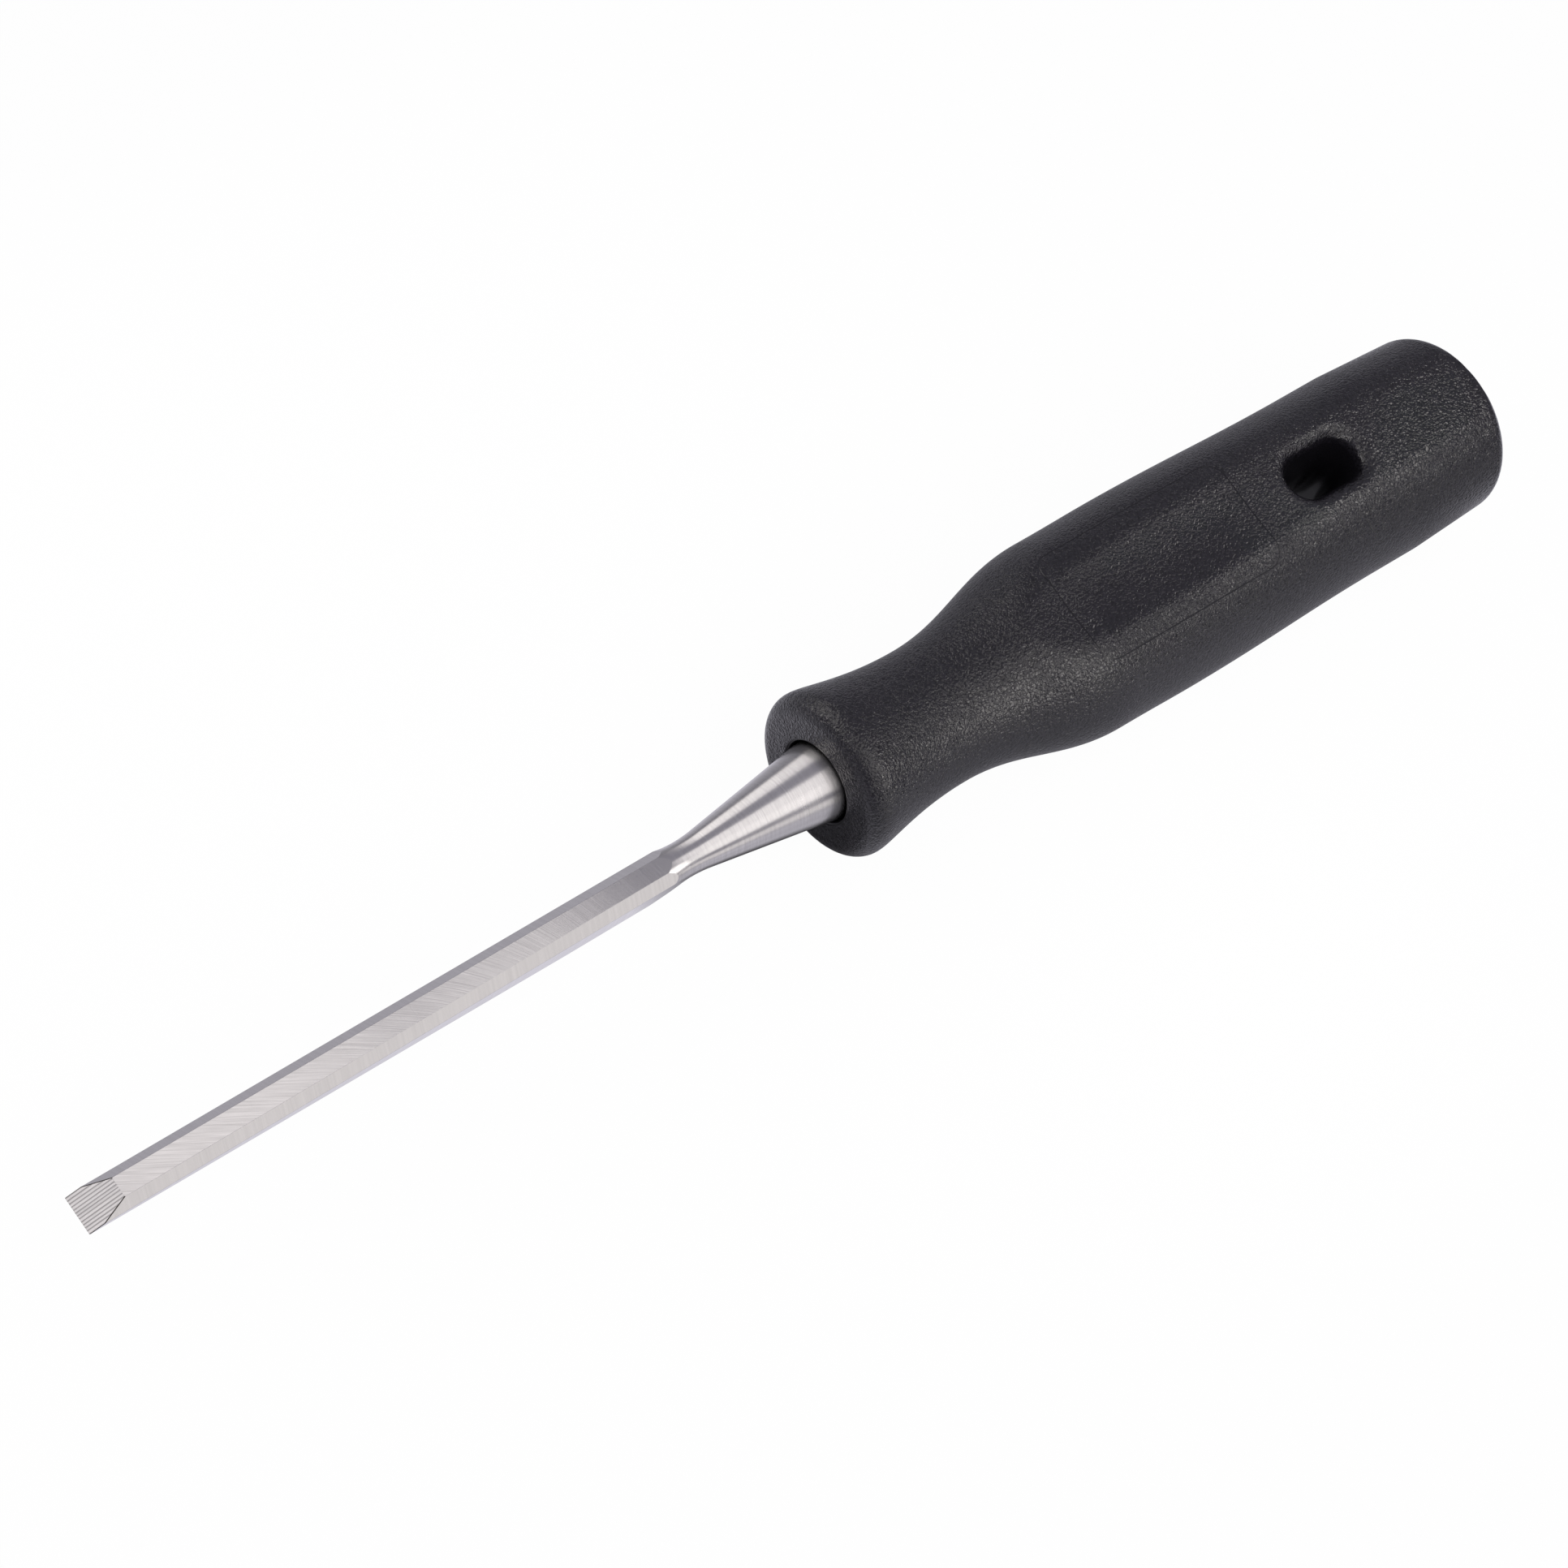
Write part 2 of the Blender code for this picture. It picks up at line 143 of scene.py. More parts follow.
class ChiselHandle(bpy.types.PropertyGroup):
    """Sizes of the moulding"""

    front: length("Front", 26.7, "Diameter of the front rim")
    front_edge: length("Front edge", 3.0, "Rounding of the front rim")
    waist: length("Waist", 22.2, "Diameter of the waist")
    waist_station: length("Waist station", 22.0, "Front face to the waist")
    shoulder: length("Shoulder", 32.2, "Diameter where the grip starts")
    shoulder_station: length("Shoulder station", 50.6, "Front face to the start of the grip")
    belly: length("Belly", 32.6, "Largest diameter")
    belly_station: length("Belly station", 68.0, "Front face to the largest diameter")
    throat: length("Throat", 31.3, "Diameter by the hang slot")
    throat_to_butt: length("Throat to butt", 28.0, "Throat to the striking face")
    heel: length("Heel", 31.4, "Diameter behind the hang slot")
    heel_to_butt: length("Heel to butt", 18.0, "Heel to the striking face")
    butt: length("Butt", 30.1, "Diameter at the striking face")
    butt_edge: length("Butt edge", 3.0, "Rounding of the striking face")
    thickness: length("Thickness", (HANDLE_HIGH.z - HANDLE_LOW.z) / MM, "Across the two flattened faces")
    flat_edge: length("Flat edge", 8.0, "Round from a flattened face into the grip")
    dish: length("Dish", 0.4, "How far the flattened faces sink in the middle, as thick mouldings do")
    dish_end: length("Dish end", 10.0, "Length over which the dish runs out at each end of the panel")
    slot_to_butt: length("Slot to butt", 34.6, "Middle of the hang slot to the striking face")
    slot_length: length("Slot length", 11.0, "Hang slot at its narrowest")
    slot_width: length("Slot width", 4.4, "Hang slot at its narrowest")
    slot_mouth: length("Slot mouth", 12.4, "Width of the slot's mouth over its rounded lip")
    slot_lip: length("Slot lip", 2.5, "Rounding of the slot's mouth")
    upper_funnel: length("Upper funnel", 7.7, "Depth of the funnel from the upper face")
    lower_funnel: length("Lower funnel", 13.6, "Depth of the funnel from the lower face")
    bore: length("Bore", 13.3, "Counterbore round the cone")
    bore_edge: length("Bore edge", 0.5, "Rounding of the counterbore's edge")
    bore_depth: length("Bore depth", 4.0, "Depth of the counterbore")
    tang_fit: length("Tang fit", 0.3, "Room left on each face of the tang")
    tang_room: length("Tang room", 1.0, "Room left beyond the tang's tip")
    panel_start: length("Panel start", 45.0, "Front face to the moulded panel")
    panel_end: length("Panel end", 82.8, "Front face to the panel's far end")
    panel_half: length("Panel half width", 9.7, "Tool axis to the panel's side")
    panel_corner: length("Panel corner", 3.0, "Corner radius of the panel")
    panel_line: length("Panel line", 0.24, "Width of the line round the panel")
    panel_groove: length("Panel groove", 0.065, "Depth of the line round the panel")


class ChiselLook(bpy.types.PropertyGroup):
    """Colours and grain"""

    steel: colour("Steel", "#cbc9c8", "Ground steel")
    # painted shade: this dark burr colour also stands for the shade in the narrow gap along the cutting bevel's
    # sides
    burr: colour("Burr", "#4a4644", "Burnt burr round the cutting bevel")
    plastic: colour("Plastic", "#17161a", "Moulded handle")
    dust: colour("Dust", "#b4b1aa", "Specks of dust on the handle")
    floor: colour("Floor", "#f4f4f4", "Stage floor")
    # painted reflection: colour of the table's glow in reflections, which carries the painted shade under the
    # tool
    table_glow: colour("Table glow", "#ffffff", "White of the table to the eye")
    table_in_painted_reflections: colour("Table mirrored", "#f5f3ff", "White of the table in reflections")
    studio: colour("Studio", "#f1eeff", "Walls and ceiling of the studio")
    lamp: colour("Lamp", "#fffbf6", "White of the soft lights")
    grain: length("Grain", 0.45, "Width of one ridge of the moulded grain and the pit beside it")
    grain_depth: length("Grain depth", 0.14, "Height of the moulded grain")


class ChiselStage(bpy.types.PropertyGroup):
    """Camera and light"""

    camera_place: bpy.props.FloatVectorProperty(
        name="Camera",
        description="Place of the camera",
        default=(-0.308908, -0.117025, 0.544289),
        subtype="TRANSLATION",
    )
    camera_turn: bpy.props.FloatVectorProperty(
        name="Camera turn",
        description="Turn of the camera",
        default=[math.radians(turn) for turn in (26.559, -17.466, -37.467)],
        subtype="EULER",
    )
    focal_pixels: bpy.props.FloatProperty(
        name="Focal length", description="Focal length in pixels of the picture", default=5250.0
    )


def arc(centre, radius, start, end, steps):
    """Points of an arc in a profile plane, angles from the first axis."""
    turns = (start + (end - start) * step / steps for step in range(steps + 1))
    return [(centre[0] + radius * math.cos(turn), centre[1] + radius * math.sin(turn)) for turn in turns]


def straight(start, end, steps):
    """Points along a line, without its first point."""
    shares = (step / steps for step in range(1, steps + 1))
    return [(start[0] + (end[0] - start[0]) * s, start[1] + (end[1] - start[1]) * s) for s in shares]


def level_curve(start, end, leave, arrive, steps):
    """A curve between two (station, radius) points, level for a share of each end, without its first point."""
    run = end[0] - start[0]
    points = interpolate_bezier(
        Vector((*start, 0.0)),
        Vector((start[0] + leave * run, start[1], 0.0)),
        Vector((end[0] - arrive * run, end[1], 0.0)),
        Vector((*end, 0.0)),
        steps + 1,
    )
    return [(point.x, point.y) for point in points[1:]]


def lathe(bm, outline):
    """Spins an outline of (station, radius) once round the tool's axis."""
    points = [bm.verts.new((station, radius, 0.0)) for station, radius in outline]
    lines = [bm.edges.new(pair) for pair in zip(points, points[1:])]
    bmesh.ops.spin(
        bm,
        geom=points + lines,
        axis=(1.0, 0.0, 0.0),
        cent=(0.0, 0.0, 0.0),
        angle=FULL_TURN,
        steps=TURN_STEPS,
        use_merge=True,
    )


def grind(bm, point, normal, place):
    """Takes off what lies outside a plane and closes the cut with a face of one material."""
    cut = bmesh.ops.bisect_plane(
        bm,
        geom=bm.verts[:] + bm.edges[:] + bm.faces[:],
        dist=MERGE,
        plane_co=point,
        plane_no=normal,
        clear_outer=True,
    )
    edges = [item for item in cut["geom_cut"] if isinstance(item, bmesh.types.BMEdge)]
    filled = bmesh.ops.holes_fill(bm, edges=edges)
    for face in filled["faces"]:
        face.material_index = place


def open_loop(bm, station):
    """The open edges at a station."""
    return [
        edge
        for edge in bm.edges
        if edge.is_boundary and all(abs(vert.co.x - station) < NEAR for vert in edge.verts)
    ]


def new_object(name, bm, materials):
    mesh = bpy.data.meshes.new(name)
    bm.to_mesh(mesh)
    bm.free()
    for material in materials:
        mesh.materials.append(material)
    piece = bpy.data.objects.new(name, mesh)
    bpy.context.scene.collection.objects.link(piece)
    return piece


def to_frame(bm):
    """Moves a piece from its drawing, on the tool's axis, to its place in the frame."""
    bmesh.ops.translate(bm, verts=bm.verts, vec=(FRONT_X, 0.0, AXIS_Z))


def dress(piece, node, sharp):
    """Shades a finished piece, sharp above an angle, and hands it to the frame in place of a solid."""
    piece.data.shade_smooth()
    piece.data.set_sharp_from_angle(angle=math.radians(sharp))
    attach(piece, "root")
    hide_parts(node)


def add_node(tree, kind, inputs=None, **settings):
    """Adds a node with its settings, and sets or links its inputs by name or place."""
    node = tree.nodes.new(kind)
    for name, value in settings.items():
        setattr(node, name, value)
    for key, value in (inputs or {}).items():
        if isinstance(value, bpy.types.NodeSocket):
            tree.links.new(value, node.inputs[key])
        else:
            node.inputs[key].default_value = value
    return node


def new_material(name):
    """An empty material with its shader: (material, tree, shader)."""
    material = bpy.data.materials.new(name)
    material.use_nodes = True
    return material, material.node_tree, material.node_tree.nodes["Principled BSDF"]


def connect(tree, shader, **sockets):
    for name, socket in sockets.items():
        tree.links.new(socket, shader.inputs[name.replace("_", " ")])


def grained_plastic(look):
    """Black polypropylene from an etched mould: short ridges that glint, smoother in places, some dust."""
    material, tree, shader = new_material("grained_black_polypropylene")
    place = add_node(tree, "ShaderNodeTexCoord").outputs["Object"]
    worms = add_node(
        tree,
        "ShaderNodeTexNoise",
        {"Vector": place, "Scale": 1 / look.grain, "Detail": 0.4, "Distortion": 0.8},
    )
    relief = add_node(
        tree,
        "ShaderNodeMapRange",
        {"Value": worms.outputs["Fac"], "From Min": 0.25, "From Max": 0.75},
    )
    patches = add_node(tree, "ShaderNodeTexNoise", {"Vector": place, "Scale": 1 / (18 * MM), "Detail": 2.0})
    worn = add_node(
        tree,
        "ShaderNodeMapRange",
        {"Value": patches.outputs["Fac"], "From Min": 0.35, "From Max": 0.60, "To Min": 0.75, "To Max": 1.0},
    )
    depth = add_node(tree, "ShaderNodeAttribute", attribute_name=GRAIN)
    strength = add_node(
        tree,
        "ShaderNodeMath",
        {0: worn.outputs["Result"], 1: depth.outputs["Fac"]},
        operation="MULTIPLY",
    )
    bump = add_node(
        tree,
        "ShaderNodeBump",
        {
            "Height": relief.outputs["Result"],
            "Strength": strength.outputs["Value"],
            "Distance": look.grain_depth,
        },
    )
    gloss = add_node(
        tree,
        "ShaderNodeMapRange",
        {"Value": patches.outputs["Fac"], "From Min": 0.3, "From Max": 0.7, "To Min": 0.11, "To Max": 0.16},
    )
    shade = add_node(
        tree,
        "ShaderNodeMix",
        {
            "Factor": relief.outputs["Result"],
            "A": (*[channel * 0.4 for channel in look.plastic], 1.0),
            "B": (*[channel * 1.6 for channel in look.plastic], 1.0),
        },
        data_type="RGBA",
    )
    specks = add_node(tree, "ShaderNodeTexVoronoi", {"Vector": place, "Scale": 1 / (7 * MM)})
    small = add_node(
        tree, "ShaderNodeMath", {0: specks.outputs["Distance"], 1: 0.017}, operation="LESS_THAN"
    )
    few = add_node(tree, "ShaderNodeMath", {0: specks.outputs["Color"], 1: 0.62}, operation="GREATER_THAN")
    dusty = add_node(
        tree, "ShaderNodeMath", {0: small.outputs["Value"], 1: few.outputs["Value"]}, operation="MULTIPLY"
    )
    dusted = add_node(
        tree,
        "ShaderNodeMix",
        {"Factor": dusty.outputs["Value"], "A": shade.outputs["Result"], "B": (*look.dust, 1.0)},
        data_type="RGBA",
    )
    connect(
        tree,
        shader,
        Base_Color=dusted.outputs["Result"],
        Roughness=gloss.outputs["Result"],
        Normal=bump.outputs["Normal"],
    )
    return material


def smooth_plastic(look):
    """The same plastic off polished mould pins: glossy and almost without grain."""
    material, tree, shader = new_material("polished_black_polypropylene")
    place = add_node(tree, "ShaderNodeTexCoord").outputs["Object"]
    ripple = add_node(tree, "ShaderNodeTexNoise", {"Vector": place, "Scale": 1 / (1.5 * MM), "Detail": 3.0})
    bump = add_node(
        tree, "ShaderNodeBump", {"Height": ripple.outputs["Fac"], "Strength": 0.3, "Distance": 0.01 * MM}
    )
    gloss = add_node(
        tree, "ShaderNodeMapRange", {"Value": ripple.outputs["Fac"], "To Min": 0.18, "To Max": 0.30}
    )
    shader.inputs["Base Color"].default_value = (*[channel * 0.7 for channel in look.plastic], 1.0)
    connect(tree, shader, Roughness=gloss.outputs["Result"], Normal=bump.outputs["Normal"])
    return material


def ground_steel(look, name, scratch, depth, contrast, span, sheen, lean=(0.0, 0.0, 0.0)):
    """Ground tool steel: scratches of one direction over a satin sheen.

    scratch builds the vector whose X runs across the scratches, in scratch widths. depth is how deep
    they are, contrast the share of light they take, span the range of the noise from dark to light,
    sheen the roughness at the tip and at the neck, and lean the slope of their long sides at the tip, in
    the middle of the blade and at the neck.
    """
    material, tree, shader = new_material(name)
    place = add_node(tree, "ShaderNodeTexCoord").outputs["Object"]
    lines = add_node(
        tree,
        "ShaderNodeTexNoise",
        {"Vector": scratch(tree, place), "Scale": 1.0, "Detail": 4.0, "Roughness": 0.65},
    )
    cloud = add_node(tree, "ShaderNodeTexNoise", {"Vector": place, "Scale": 1 / (9 * MM), "Detail": 2.0})
    shade = add_node(
        tree,
        "ShaderNodeMapRange",
        {
            "Value": lines.outputs["Fac"],
            "From Min": span[0],
            "From Max": span[1],
            "To Min": 1 - contrast,
            "To Max": 1.0,
        },
    )
    tint = add_node(
        tree,
        "ShaderNodeMix",
        {"Factor": 1.0, "A": (*look.steel, 1.0), "B": shade.outputs["Result"]},
        data_type="RGBA",
        blend_type="MULTIPLY",
    )
    along = add_node(tree, "ShaderNodeSeparateXYZ", {"Vector": place})
    satin = add_node(
        tree,
        "ShaderNodeMapRange",
        {
            "Value": along.outputs["X"],
            "From Min": BLADE_LOW.x,
            "From Max": FRONT_X - 30 * MM,
            "To Min": sheen[0] - 0.04,
            "To Max": sheen[1] - 0.04,
        },
    )
    uneven = add_node(
        tree,
        "ShaderNodeMath",
        {0: cloud.outputs["Fac"], 1: 0.08, 2: satin.outputs["Result"]},
        operation="MULTIPLY_ADD",
    )
    leans = []
    for (start, end), first, last in ((LEAN_EASES, lean[0] - lean[1], 0.0), (LEAN_ENDS, lean[1], lean[2])):
        eased = add_node(
            tree,
            "ShaderNodeMapRange",
            {
                "Value": along.outputs["X"],
                "From Min": BLADE_LOW.x + start,
                "From Max": BLADE_LOW.x + end,
                "To Min": first,
                "To Max": last,
            },
        )
        leans.append(eased.outputs["Result"])
    slope = add_node(tree, "ShaderNodeMath", {0: leans[0], 1: leans[1]}, operation="ADD")
    side = add_node(
        tree, "ShaderNodeMath", {0: along.outputs["Y"], 1: slope.outputs["Value"]}, operation="MULTIPLY"
    )
    height = add_node(
        tree,
        "ShaderNodeMath",
        {0: lines.outputs["Fac"], 1: depth, 2: side.outputs["Value"]},
        operation="MULTIPLY_ADD",
    )
    bump = add_node(
        tree, "ShaderNodeBump", {"Height": height.outputs["Value"], "Strength": 1.0, "Distance": 1.0}
    )
    shader.inputs["Metallic"].default_value = 1.0
    connect(
        tree,
        shader,
        Base_Color=tint.outputs["Result"],
        Roughness=uneven.outputs["Value"],
        Normal=bump.outputs["Normal"],
    )
    return material


def wheel_ground_steel(look):
    """Steel off a coarse wheel: even dark furrows up the bevel, half a millimetre apart, on bright steel."""
    material, tree, shader = new_material("wheel_ground_steel")
    place = add_node(tree, "ShaderNodeTexCoord").outputs["Object"]
    long = add_node(tree, "ShaderNodeMapping", {"Vector": place, "Scale": (0.03, 1.0, 0.03)})
    furrows = add_node(
        tree,
        "ShaderNodeTexWave",
        {
            "Vector": long.outputs["Vector"],
            "Scale": FULL_TURN / (20 * 0.5 * MM),
            "Distortion": 5.0,
            "Detail": 2.0,
            "Detail Scale": 0.45,
        },
        bands_direction="Y",
    )
    fine = add_node(
        tree, "ShaderNodeTexNoise", {"Vector": long.outputs["Vector"], "Scale": 1 / (0.2 * MM), "Detail": 3.0}
    )
    groove = add_node(
        tree,
        "ShaderNodeMapRange",
        {"Value": furrows.outputs["Fac"], "From Max": 0.36, "To Min": 0.42, "To Max": 1.0},
    )
    shade = add_node(
        tree,
        "ShaderNodeMapRange",
        {"Value": fine.outputs["Fac"], "From Min": 0.3, "From Max": 0.6, "To Min": 0.8, "To Max": 1.0},
    )
    both = add_node(
        tree,
        "ShaderNodeMath",
        {0: groove.outputs["Result"], 1: shade.outputs["Result"]},
        operation="MULTIPLY",
    )
    tint = add_node(
        tree,
        "ShaderNodeMix",
        {"Factor": 1.0, "A": (*look.steel, 1.0), "B": both.outputs["Value"]},
        data_type="RGBA",
        blend_type="MULTIPLY",
    )
    bump = add_node(
        tree, "ShaderNodeBump", {"Height": furrows.outputs["Fac"], "Strength": 1.0, "Distance": 0.02 * MM}
    )
    gloss = add_node(
        tree, "ShaderNodeMapRange", {"Value": fine.outputs["Fac"], "To Min": 0.28, "To Max": 0.38}
    )
    shader.inputs["Metallic"].default_value = 1.0
    connect(
        tree,
        shader,
        Base_Color=tint.outputs["Result"],
        Roughness=gloss.outputs["Result"],
        Normal=bump.outputs["Normal"],
    )
    return material


def turned_steel(look):
    """Steel polished on the lathe: bands of light drawn out along the neck by fine lines round it."""
    material, tree, shader = new_material("polished_turned_steel")
    place = add_node(tree, "ShaderNodeTexCoord").outputs["Object"]
    lines = add_node(
        tree,
        "ShaderNodeTexNoise",
        {"Vector": round_neck(tree, place), "Scale": 1.0, "Detail": 4.0, "Roughness": 0.65},
    )
    area = add_node(tree, "ShaderNodeTexNoise", {"Vector": place, "Scale": 1 / (11 * MM), "Detail": 1.0})
    shade = add_node(
        tree,
        "ShaderNodeMapRange",
        {"Value": lines.outputs["Fac"], "From Min": 0.3, "From Max": 0.7, "To Min": 0.86, "To Max": 1.0},
    )
    tint = add_node(
        tree,
        "ShaderNodeMix",
        {"Factor": 1.0, "A": (*look.steel, 1.0), "B": shade.outputs["Result"]},
        data_type="RGBA",
        blend_type="MULTIPLY",
    )
    gloss = add_node(
        tree,
        "ShaderNodeMapRange",
        {"Value": area.outputs["Fac"], "From Min": 0.3, "From Max": 0.7, "To Min": 0.24, "To Max": 0.28},
    )
    bump = add_node(
        tree, "ShaderNodeBump", {"Height": lines.outputs["Fac"], "Strength": 1.0, "Distance": 0.006 * MM}
    )
    shader.inputs["Metallic"].default_value = 1.0
    shader.inputs["Anisotropic"].default_value = 0.45
    shader.inputs["Anisotropic Rotation"].default_value = 0.25
    around = add_node(tree, "ShaderNodeTangent", direction_type="RADIAL", axis="X")
    connect(
        tree,
        shader,
        Base_Color=tint.outputs["Result"],
        Roughness=gloss.outputs["Result"],
        Normal=bump.outputs["Normal"],
        Tangent=around.outputs["Tangent"],
    )
    return material


def burr_and_painted_shade(look):
    """The ragged burr left by the grinding wheel: dark, dull steel, its dark colour also painted shade of the
    narrow gap along the cutting bevel's sides.
    """
    material, tree, shader = new_material("dark_burr_with_painted_shade")
    place = add_node(tree, "ShaderNodeTexCoord").outputs["Object"]
    ragged = add_node(tree, "ShaderNodeTexNoise", {"Vector": place, "Scale": 1 / (0.4 * MM), "Detail": 3.0})
    shade = add_node(
        tree,
        "ShaderNodeMix",
        {"Factor": ragged.outputs["Fac"], "A": (*look.burr, 1.0), "B": (*look.steel, 1.0)},
        data_type="RGBA",
        blend_type="MULTIPLY",
    )
    bump = add_node(
        tree, "ShaderNodeBump", {"Height": ragged.outputs["Fac"], "Strength": 0.6, "Distance": 0.03 * MM}
    )
    shader.inputs["Metallic"].default_value = 0.6
    shader.inputs["Roughness"].default_value = 0.55
    connect(tree, shader, Base_Color=shade.outputs["Result"], Normal=bump.outputs["Normal"])
    return material


def across_blade(tree, place):
    """Fine lines straight across the blade, 0.5 mm apart."""
    return add_node(
        tree, "ShaderNodeMapping", {"Vector": place, "Scale": (1 / (0.5 * MM), 1 / (20 * MM), 1 / (20 * MM))}
    ).outputs["Vector"]


def slanted_sweep(tree, place):
    """Lines that lie slantwise at the tip and turn across the blade towards the neck."""
    parts = add_node(tree, "ShaderNodeSeparateXYZ", {"Vector": place})
    along = add_node(
        tree, "ShaderNodeMath", {0: parts.outputs["X"], 1: -BLADE_LOW.x}, operation="ADD"
    ).outputs["Value"]
    steep = add_node(tree, "ShaderNodeMath", {0: along, 1: 7.0}, operation="POWER").outputs["Value"]
    bend = add_node(
        tree,
        "ShaderNodeMath",
        {0: steep, 1: 5.0 / (7 * (96 * MM) ** 6), 2: parts.outputs["Y"]},
        operation="MULTIPLY_ADD",
    ).outputs["Value"]
    across = add_node(
        tree, "ShaderNodeMath", {0: along, 1: 0.55, 2: bend}, operation="MULTIPLY_ADD"
    ).outputs["Value"]
    across = add_node(
        tree, "ShaderNodeMath", {0: across, 1: 1 / (0.19 * MM)}, operation="MULTIPLY"
    ).outputs["Value"]
    slow = add_node(tree, "ShaderNodeMath", {0: along, 1: 1 / (10 * MM)}, operation="MULTIPLY").outputs["Value"]
    return add_node(tree, "ShaderNodeCombineXYZ", {"X": across, "Y": slow}).outputs["Vector"]


def round_neck(tree, place):
    """Polishing lines round the neck; the real ones are finer, but would not show."""
    return add_node(
        tree, "ShaderNodeMapping", {"Vector": place, "Scale": (1 / (0.22 * MM), 1 / (5 * MM), 1 / (5 * MM))}
    ).outputs["Vector"]


def at_tip(edge, size):
    """Whether an edge is the cutting edge itself."""
    return all(abs(vert.co.x + size.reach) < NEAR for vert in edge.verts)


def chamfer(bm, edges, width):
    """Breaks edges with a narrow rounded chamfer."""
    return bmesh.ops.bevel(
        bm,
        geom=edges,
        offset=width,
        offset_type="OFFSET",
        segments=2,
        profile=0.5,
        affect="EDGES",
        material=-1,
        clamp_overlap=True,
    )


def tangent_slope(run, rise, radius):
    """Slope of the straight cone that leaves the neck's hollow and ends at a run and rise from the neck."""
    reach = math.hypot(run, radius - rise)
    return math.atan2(run, radius - rise) - math.acos(radius / reach)


